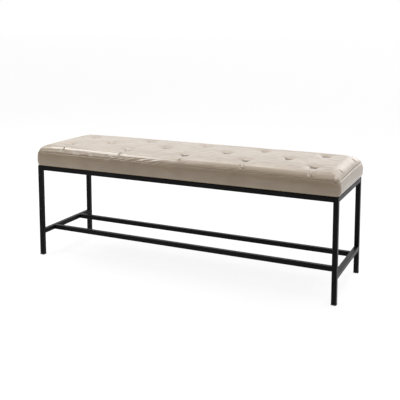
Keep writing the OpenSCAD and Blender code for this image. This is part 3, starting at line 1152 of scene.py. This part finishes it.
@dataclass
class TuftTwine:
    """The twine that pulls each tuft down: a knot at either end and three laid strands between.

    It comes straight up out of its anchor and leans over in the foam, to a tuft that was gathered by
    hand, and stops a little under the cover.
    """

    plan: SeatPlan
    tufting: Tufting
    twine_d: float = 2.0 * MM
    knot_d: float = 5.0 * MM
    knot_h: float = 1.2 * MM
    knot_rings: int = 9
    strands: int = 3
    lay: float = 8.0 * MM
    groove: float = 0.14
    under: float = 1.6 * MM
    sides: int = 12
    rings: int = 120

    def build(self, cover: Array) -> Object:
        """Ties every tuft.

        Args:
            cover: The top panel's outer face, as rows by columns by 3.

        Returns:
            The twine as one piece.
        """
        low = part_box("tuft_ties")[0].z
        ties = []
        for foot, (x, y) in zip(self.tufting.feet(), self.tufting.places()):
            near = np.hypot(cover[..., 0] - x, cover[..., 1] - y) < self.knot_d
            ties.append(self._tie(foot, (x, y), low, float(cover[..., 2][near].min()) - self.under))
        skin = tube_faces(len(ties[0]), self.sides)
        faces = np.concatenate([skin + k * ties[0].size // 3 for k in range(len(ties))])
        piece = make_piece("tuft_twine", np.stack(ties), faces, SLOT_FINISH["twine"])
        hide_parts("tuft_ties")
        return piece

    def _tie(self, foot: Place, top: Place, low: float, high: float) -> Array:
        """One tie from its foot to its tuft.

        Args:
            foot: Its place in the board.
            top: The place of its tuft.
            low: Height of its lower end.
            high: Height of its upper end.

        Returns:
            Points as rings by sides by 3.
        """
        turn = np.linspace(0, 1, self.knot_rings)
        knot = self.knot_h * (1 - np.cos(math.pi * turn)) / 2
        straight = np.linspace(low + self.knot_h, high - self.knot_h, self.rings)[1:-1]
        z = np.concatenate([low + knot, straight, high - knot[::-1]])
        knot_d = np.maximum(self.knot_d * np.sqrt(np.sin(math.pi * turn).clip(0.1)), self.twine_d)
        thick = np.concatenate([knot_d, np.full(self.rings - 2, self.twine_d), knot_d]) / 2
        lean = smoothstep(self.plan.board_top + 5 * MM, high - 6 * MM, z)[:, None]
        middle = np.array(foot) * (1 - lean) + np.array(top) * lean
        angle = np.arange(self.sides) * 2 * math.pi / self.sides
        laid = self.strands * (angle[None] - 2 * math.pi * z[:, None] / self.lay)
        radius = thick[:, None] * (1 - self.groove * (1 + np.cos(laid)) / 2)
        ring = np.stack([np.cos(angle), np.sin(angle)], -1) * radius[..., None]
        return np.concatenate([middle[:, None] + ring, np.repeat(z[:, None, None], self.sides, 1)], -1)


@dataclass
class SeamStitches:
    """Short threads, one after another, that hold the seam down on the band."""

    pitch: float = 5.2 * MM
    gap: float = 1.0 * MM
    radius: float = 0.42 * MM
    rings: int = 6
    sides: int = 6

    def build(self, path: Array, way: Array) -> Object:
        """Sews along a loop.

        Args:
            path: The loop's points, closed by its first point.
            way: The direction out of the band at each point, in plan.

        Returns:
            The stitches as one piece.
        """
        run = run_length(path)
        count = int(run[-1] / self.pitch)
        share = np.linspace(0, 1, self.rings)
        stitch = share[None, :] * (1 - self.gap / self.pitch)
        at = (np.arange(count)[:, None] + stitch) * run[-1] / count
        outward = np.concatenate([sample(at, run, way), np.zeros((*at.shape, 1))], -1)
        outward /= np.linalg.norm(outward, axis=-1, keepdims=True)
        bow = self.radius * (1.5 * np.sin(share * math.pi) - 0.9)
        middle = sample(at, run, path) + outward * bow[None, :, None]
        thick = self.radius * np.clip(np.sin(share * math.pi) * 2.4, 0.35, 1.0)
        angle = np.arange(self.sides) * 2 * math.pi / self.sides
        up = np.array([0.0, 0.0, 1.0])
        ring = outward[:, :, None] * np.cos(angle)[:, None] + up * np.sin(angle)[:, None]
        points = middle[:, :, None] + ring * thick[None, :, None, None]
        one = tube_faces(self.rings, self.sides)[:, ::-1]
        faces = (one[None] + (np.arange(count) * self.rings * self.sides)[:, None, None]).reshape(-1, 4)
        return make_piece("seam_stitches", points, faces, TwistedThread())


@dataclass
class TuftedCushion:
    """The seat's soft parts: top panel, boxing band, wadding, foam and the seam's stitches.

    The seam is sunk more at the short sides than at the long ones. A dip is its depth in millimetres
    and how far along it reaches.
    """

    plan: SeatPlan
    tufting: Tufting = field(default_factory=Tufting)
    cover_t: float = 1.2 * MM
    wadding_t: float = 3.6 * MM
    wadding_under: float = 6.0 * MM
    foam_under: float = 11.2 * MM
    foam_gap: float = 0.3 * MM
    sunk_long: float = 0.2 * MM
    sunk_short: float = 2.2 * MM
    corner_dip: Place = (1.6, 17 * MM)
    front_right_dip: Place = (5.2, 170 * MM)

    def pleats(self, side: Side) -> list[Pleat]:
        """The folds over one side's roll.

        Args:
            side: The side.

        Returns:
            Its folds, with their places along it.
        """
        if side in (Side.LEFT, Side.RIGHT):
            return [Pleat(y, start=14 * MM, depth=2.8 * MM) for y in (-self.tufting.row, self.tufting.row)]
        shift = (14, 19, 18, 6, 1)
        lean = (3, -3, -2, 15, 10)
        flap = {"lip_start": -62 * MM, "lip": 3.4 * MM, "lip_w": 12 * MM, "depth": 3.4 * MM,
                "fall": 2.6 * MM}
        lips = ({}, {}, {}, flap, flap) if side is Side.FRONT else ({},) * 5
        return [Pleat(x + dx * MM, turn * MM, **lip)
                for x, dx, turn, lip in zip(self.tufting.outer_x(), shift, lean, lips)]

    def pleat_marks(self) -> list[float]:
        """X of the pleats along the front and back."""
        return [p.at for p in self.pleats(Side.FRONT)]

    def gathers(self, side: Side) -> Gathers:
        """The drag lines between one side's roll and its seam.

        Args:
            side: The side.

        Returns:
            Its gathers.
        """
        arc = self.plan.arc()
        if side in (Side.FRONT, Side.BACK):
            return Gathers(per_metre=190, length=(22 * MM, 52 * MM), width=(3.4 * MM, 6.5 * MM),
                           height=0.6 * MM, slant=(-30, -9), down=(0.74 * arc, arc + 12 * MM),
                           seed=11 if side is Side.FRONT else 12, calm=50 * MM)
        return Gathers(per_metre=150, length=(10 * MM, 22 * MM), width=(3.4 * MM, 6 * MM),
                       height=0.5 * MM, slant=(75, 105), down=(0.7 * arc, arc + 6 * MM),
                       seed=13 if side is Side.LEFT else 14)

    def long_drags(self, side: Side) -> Gathers:
        """The long shallow waves along one side of the band."""
        sx, sy = side.value
        return Gathers(per_metre=22, length=(60 * MM, 150 * MM), width=(13 * MM, 26 * MM),
                       height=0.55 * MM, slant=(-16, 16), down=(14 * MM, 46 * MM), seed=31 + sx + 3 * sy)

    def panel_grid(self, form: PanelForm, lowered: float = 0.0, folded: bool = True) -> Array:
        """The panel's points with tufts, pleats and gathers.

        Args:
            form: The panel's form.
            lowered: How far inside the cover's outer face the surface lies.
            folded: Whether the pleats and gathers are on it.

        Returns:
            Points as rows by columns by 3.
        """
        grid = form.smooth()
        ux, uy = np.meshgrid(*form.unrolled())
        relief = self.tufting.relief(ux, uy, form.sharpness)
        normal = grid_normals(grid)
        if folded:
            relief = relief + self._edge_relief(ux, uy)
            over = 1 - smoothstep(self.plan.seam_z, self.plan.top_z, grid[..., 2])
            grid[..., 2] += self.seam_shift(grid[..., 0], grid[..., 1]) * over
        return grid + normal * (relief - lowered)[..., None]

    def _edge_relief(self, ux: Array, uy: Array) -> Array:
        """Pleats, gathers and the pull of the seam, over all four rolls.

        Args:
            ux: Unrolled x.
            uy: Unrolled y.

        Returns:
            The height at each point, positive outwards.
        """
        arc = self.plan.arc()
        out = np.zeros_like(ux)
        for side in Side:
            sx, sy = side.value
            along, outward = (ux, uy * sy) if sy else (uy, ux * sx)
            down = outward - ((self.plan.half_d if sy else self.plan.half_l) - self.plan.roll_w)
            end = self.plan.fold_end(side)
            inside = 1 - smoothstep(end - 14 * MM, end + 10 * MM, np.abs(along))
            for pleat in self.pleats(side):
                out += pleat.relief(along, down, arc) * inside
            weight = smoothstep(0.6 * arc, 0.82 * arc, down) * inside
            out += self.gathers(side).relief(along, down, end) * weight
            sunk = self.sunk_long if sy else self.sunk_short
            out -= sunk * smoothstep(0.86 * arc, arc, down)
        return out

    def seam_shift(self, x: Array, y: Array) -> Array:
        """How far the seam wanders up or down: it dips at the corners.

        Args:
            x: X at each point.
            y: Y at each point.

        Returns:
            How far each point moves up.
        """
        (dip, reach), (right_dip, right_reach) = self.corner_dip, self.front_right_dip
        to_front_right = np.hypot(self.plan.half_l - x, self.plan.half_d + y)
        wander = 0.45 * np.sin(x / (31 * MM) + 0.7) * np.sin(x / (83 * MM) + y / (40 * MM))
        dips = dip * hump(self.plan.to_corner(x, y), reach)
        dips += right_dip * hump(to_front_right, right_reach, 1)
        return (wander - dips) * MM

    def outline(self) -> Outline:
        """The loop that the band and the stitches follow."""
        return Outline(self.plan, self.pleat_marks(), [p.at for p in self.pleats(Side.LEFT)])

    def band_profile(self) -> Array:
        """The band's outer face from the seam down and round to the hem's inner edge.

        Returns:
            Steps down the face, each as (out, height).
        """
        rise = self.plan.band_h / MM
        line = MM * np.array([
            (-7.0, rise - 2.0), (-3.6, rise - 0.3), (-1.2, rise), (-0.2, rise - 0.7),
            (1.0, rise - 3.5), (2.6, rise - 8.5), (4.1, rise - 17), (4.9, 28.0), (4.6, 19.0),
            (3.7, 12.0), (2.2, 7.0), (0.6, 3.6), (-1.3, 1.5), (-3.9, 0.35), (-7.0, 0.0),
            (-13.5, 0.0), (-21.5, 0.0), (-29.5, 0.0), (-35.5, 0.0)])
        steps = run_length(line)
        return sample(np.linspace(0, steps[-1], 64), steps, line)

    def build_panel(self) -> Object:
        """The top panel as a closed shell of faux leather, with the twine that ties its tufts down.

        Returns:
            The piece.
        """
        form = PanelForm(self.plan, self.tufting, self.pleat_marks())
        outer = self.panel_grid(form) + CoverSwell(self.plan, self.tufting).over(form)
        TuftTwine(self.plan, self.tufting).build(outer)
        piece = self._layer("seat_top_panel", outer, self.cover_t, "faux_leather")
        # Painted shade for the tufts' folds, on the outer face's points; the inner face gets none.
        shade = self.tufting.painted_fold_shade(*np.meshgrid(*form.unrolled())).ravel()
        tone = piece.data.attributes.new(PAINTED_FOLD_SHADE, "FLOAT", "POINT")
        tone.data.foreach_set("value", np.concatenate([shade, np.zeros_like(shade)]).astype(np.float32))
        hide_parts("cover_top")
        return piece

    def build_band(self) -> Object:
        """The boxing band, turned in under the board as a hem, as a closed shell.

        Returns:
            The piece.
        """
        outline = self.outline()
        profile = self.band_profile()
        height = np.full((len(outline.keep), 1), self.plan.bottom_z)
        outer = np.stack([np.hstack([outline.loop(out), height + h]) for out, h in profile])
        relief, drop = self._band_relief(outline, profile)
        outer[..., :2] += outline.way[None] * relief[..., None]
        outer[..., 2] += drop
        inner = outer + grid_normals(outer, wrap=True) * self.cover_t
        faces = shell_faces(*outer.shape[:2], wrap=True)
        piece = make_piece("seat_boxing_band", np.stack([outer, inner]), faces, LEATHER)
        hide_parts("cover_band")
        return piece

    def _band_relief(self, outline: Outline, profile: Array) -> tuple[Array, Array]:
        """Gathers, soft waves and corner folds of the band.

        Args:
            outline: The loop that the band follows.
            profile: The band's profile, as (out, height).

        Returns:
            For each row and column, how far a point moves outwards and how far it moves up.
        """
        down = np.repeat((self.plan.band_h - profile[:, 1])[:, None], len(outline.keep), 1)
        x, y = (np.broadcast_to(line, down.shape) for line in outline.loop(0.0).T)
        relief = np.zeros_like(down)
        for side in Side:
            on_side = (outline.way @ np.array(side.value, float)) > 0.7
            along = x if side.value[1] else y
            end = self.plan.fold_end(side)
            both = self.gathers(side).relief(along, self.plan.arc() + down, end)
            both += self.long_drags(side).relief(along, down, end)
            if side in (Side.LEFT, Side.RIGHT):
                both += 2.0 * MM * hump(down - 2.4 * MM, 2.4 * MM)
            relief += both * on_side
        swell = 0.8 * np.sin(x / (97 * MM) + 1.1) * np.sin(y / (55 * MM) + x / (140 * MM))
        relief += swell * MM * smoothstep(0, 20 * MM, down)
        from_corner = (self.plan.to_corner(x, y) - 10 * MM) / (6 * MM)
        relief -= 1.5 * MM * np.exp(-(((down - 5 * MM) / (5 * MM)) ** 2) - from_corner**2)
        drop = self.seam_shift(x, y) * hump(down, 20 * MM)
        hanging = smoothstep(2 * MM, 9 * MM, profile[:, 1])[:, None]
        return relief * hanging, drop * hanging

    def build_stitches(self) -> Object:
        """The row of stitches that holds the seam down on the band.

        Returns:
            The piece.
        """
        outline = self.outline()
        profile = self.band_profile()
        below_seam = 3.2 * MM
        miss = np.abs(profile[:, 1] - (self.plan.band_h - below_seam))
        row = int(np.argmin(np.where(profile[:, 0] < -3 * MM, np.inf, miss)))
        relief, drop = self._band_relief(outline, profile)
        loop = outline.loop(profile[row, 0]) + outline.way * relief[row][:, None]
        path = np.column_stack([loop, self.plan.bottom_z + profile[row, 1] + drop[row]])
        return SeamStitches().build(*(np.concatenate([line, line[:1]]) for line in (path, outline.way)))

    def build_wadding(self) -> Object:
        """The wadding: a soft white shell over the foam and down its sides.

        Returns:
            The piece.
        """
        form = self._inner_form(self.plan.seam_z - self.plan.board_z - 1.5 * MM)
        outer = self.panel_grid(form, lowered=self.wadding_under, folded=False)
        piece = self._layer("seat_wadding", outer, self.wadding_t, "wadding")
        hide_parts("wadding_wrap")
        return piece

    def build_foam(self) -> Object:
        """The foam: a block with rounded top edges and a flat base on the board.

        Returns:
            The piece.
        """
        form = self._inner_form(self.plan.seam_z - self.plan.board_top - self.foam_gap)
        top = self.panel_grid(form, lowered=self.foam_under, folded=False)
        base = top.copy()
        base[..., 2] = self.plan.board_top + self.foam_gap
        piece = self._closed("seat_foam", top, base, "foam")
        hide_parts("foam_core")
        return piece

    def _inner_form(self, skirt: float) -> PanelForm:
        """A coarser form for a layer under the cover, with sides that run down by this much."""
        return PanelForm(self.plan, self.tufting, fine=3.5 * MM, coarse=9 * MM, roll_steps=9,
                         sharpness=0.6, skirt=skirt, skirt_steps=5)

    def _layer(self, name: str, outer: Array, thickness: float, slot: str) -> Object:
        """A thin shell under a grid: its face, its back and the edge between them."""
        return self._closed(name, outer, outer - grid_normals(outer) * thickness, slot)

    def _closed(self, name: str, outer: Array, inner: Array, slot: str) -> Object:
        """Joins two grids of the same size at their rims into one closed mesh."""
        faces = shell_faces(*outer.shape[:2])
        return make_piece(name, np.stack([outer, inner]), faces, SLOT_FINISH[slot])

    def build(self) -> None:
        """Builds every soft part of the seat."""
        self.build_foam()
        self.build_wadding()
        self.build_band()
        self.build_panel()
        self.build_stitches()


# ---- studio


@dataclass(frozen=True)
class Softbox:
    """A rectangular light that faces the floor."""

    name: str
    place: tuple[float, float, float]
    size: tuple[float, float]
    brightness: float

    def build(self) -> None:
        """Hangs the light. An area light's brightness is its power over pi times its area."""
        lamp = bpy.data.lights.new(self.name, "AREA")
        lamp.shape = "RECTANGLE"
        lamp.size, lamp.size_y = self.size
        lamp.energy = self.brightness * math.pi * self.size[0] * self.size[1]
        add_object(self.name, lamp).location = self.place


@dataclass
class Studio:
    """Pale floor, soft light and the camera. The room's values are the brightness of its walls."""

    eye: tuple[float, float, float] = (1.1504, -2.3817, 0.9455)
    yaw: float = 25.23
    pitch: float = -6.79
    lens: float = 61.65
    sensor: float = 36.0
    shift_y: float = -0.235
    softboxes: tuple[Softbox, ...] = (
        Softbox("softbox_left", (-1.45, 0.05, 2.1), (1.15, 1.05), 8.0),
        Softbox("softbox_over", (-0.22, 0.18, 2.1), (1.46, 1.74), 0.7),
        Softbox("softbox_back", (-1.1, 1.45, 2.1), (1.9, 0.8), 2.3),
        Softbox("softbox_front", (-1.45, -1.35, 1.6), (0.8, 0.8), 6.6),
        Softbox("softbox_right", (1.08, 0.42, 2.1), (0.55, 1.25), 6.8),
        Softbox("softbox_strip", (0.6, -0.35, 2.1), (0.7, 0.35), 9.0))
    room_front: float = 0.25
    room_back: float = 1.18
    room_right: float = 0.2
    room_top: float = 0.35
    window_way: tuple[float, float, float] = (0.05, 0.95, 0.3)
    window_brightness: float = 1.3
    floor_half: float = 40.0

    def build(self) -> None:
        """Sets up the floor, the lights and the camera."""
        self.floor()
        self.light()
        self.camera()
        bpy.context.scene.view_settings.view_transform = "Standard"

    def floor(self) -> None:
        """A wide pale floor."""
        mesh = bpy.data.meshes.new("floor")
        signs = ((-1, -1), (1, -1), (1, 1), (-1, 1))
        mesh.from_pydata([(sx * self.floor_half, sy * self.floor_half, 0) for sx, sy in signs], [],
                         [(0, 1, 2, 3)])
        mesh.materials.append(OpalAcrylicFloor().build())
        add_object("floor", mesh)

    def light(self) -> None:
        """A white room that is dimmer in front, with a window behind and softboxes overhead."""
        world = bpy.data.worlds.new("studio")
        bpy.context.scene.world = world
        world.use_nodes = True
        tree = world.node_tree
        tree.nodes.clear()
        way = add_node(tree, "ShaderNodeTexCoord").outputs["Generated"]
        split = add_node(tree, "ShaderNodeSeparateXYZ", {"Vector": way}).outputs
        depth = add_node(tree, "ShaderNodeMapRange",
                         {"Value": split["Y"], "From Min": 0.1, "From Max": 0.85,
                          "To Min": self.room_front, "To Max": self.room_back},
                         interpolation_type="SMOOTHSTEP")
        side = add_node(tree, "ShaderNodeMath", {0: split["X"], 1: self.room_right, 2: depth},
                        operation="MULTIPLY_ADD")
        above = add_node(tree, "ShaderNodeMath", {0: split["Z"], 1: self.room_top, 2: side},
                         operation="MULTIPLY_ADD")
        towards = add_node(tree, "ShaderNodeVectorMath", {0: way, 1: self.window_way},
                           operation="DOT_PRODUCT").outputs["Value"]
        window = add_node(tree, "ShaderNodeMapRange",
                          {"Value": towards, "From Min": 0.95, "From Max": 1.0, "To Min": 0.0,
                           "To Max": self.window_brightness}, interpolation_type="SMOOTHSTEP")
        walls = add_node(tree, "ShaderNodeMath", {0: above, 1: window}, operation="ADD")
        # The camera itself sees plain white behind the bench.
        seen = add_node(tree, "ShaderNodeLightPath").outputs["Is Camera Ray"]
        room, plain = (add_node(tree, "ShaderNodeBackground", {"Color": grey(1.0), "Strength": level})
                       for level in (walls, 1.0))
        mix = add_node(tree, "ShaderNodeMixShader", {0: seen, 1: room, 2: plain})
        add_node(tree, "ShaderNodeOutputWorld", {"Surface": mix})
        for softbox in self.softboxes:
            softbox.build()

    def camera(self) -> None:
        """The camera, tilted slightly down and turned to see the front and the right end."""
        data = bpy.data.cameras.new("camera")
        data.sensor_width = self.sensor
        data.lens = self.lens
        data.shift_y = self.shift_y
        camera = add_object("camera", data)
        camera.location = self.eye
        camera.rotation_euler = (math.radians(90 + self.pitch), 0.0, math.radians(self.yaw))
        bpy.context.scene.camera = camera


@dataclass
class SteelAndFixings:
    """Every CAD node that stays in view, each with the finish of its material slot."""

    nodes: dict[str, Object]
    slots: dict[str, str]

    def dress(self) -> None:
        """Gives each node its finish."""
        for name, node in self.nodes.items():
            finish = SLOT_FINISH[self.slots[name]].build()
            node.data.materials.clear()
            node.data.materials.append(finish)
            LOG.info("%s: %s", name, finish.name)


def main() -> None:
    """Builds the bench and its studio."""
    logging.basicConfig(level=logging.INFO, format="%(name)s: %(message)s")
    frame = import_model()
    slots = {part["node"]: part["material_slot"] for part in frame["record"]["subparts"]}
    Studio().build()
    SteelAndFixings(frame["nodes"], slots).dress()
    TuftedCushion(SeatPlan.from_solids()).build()


if __name__ == "__main__":
    main()
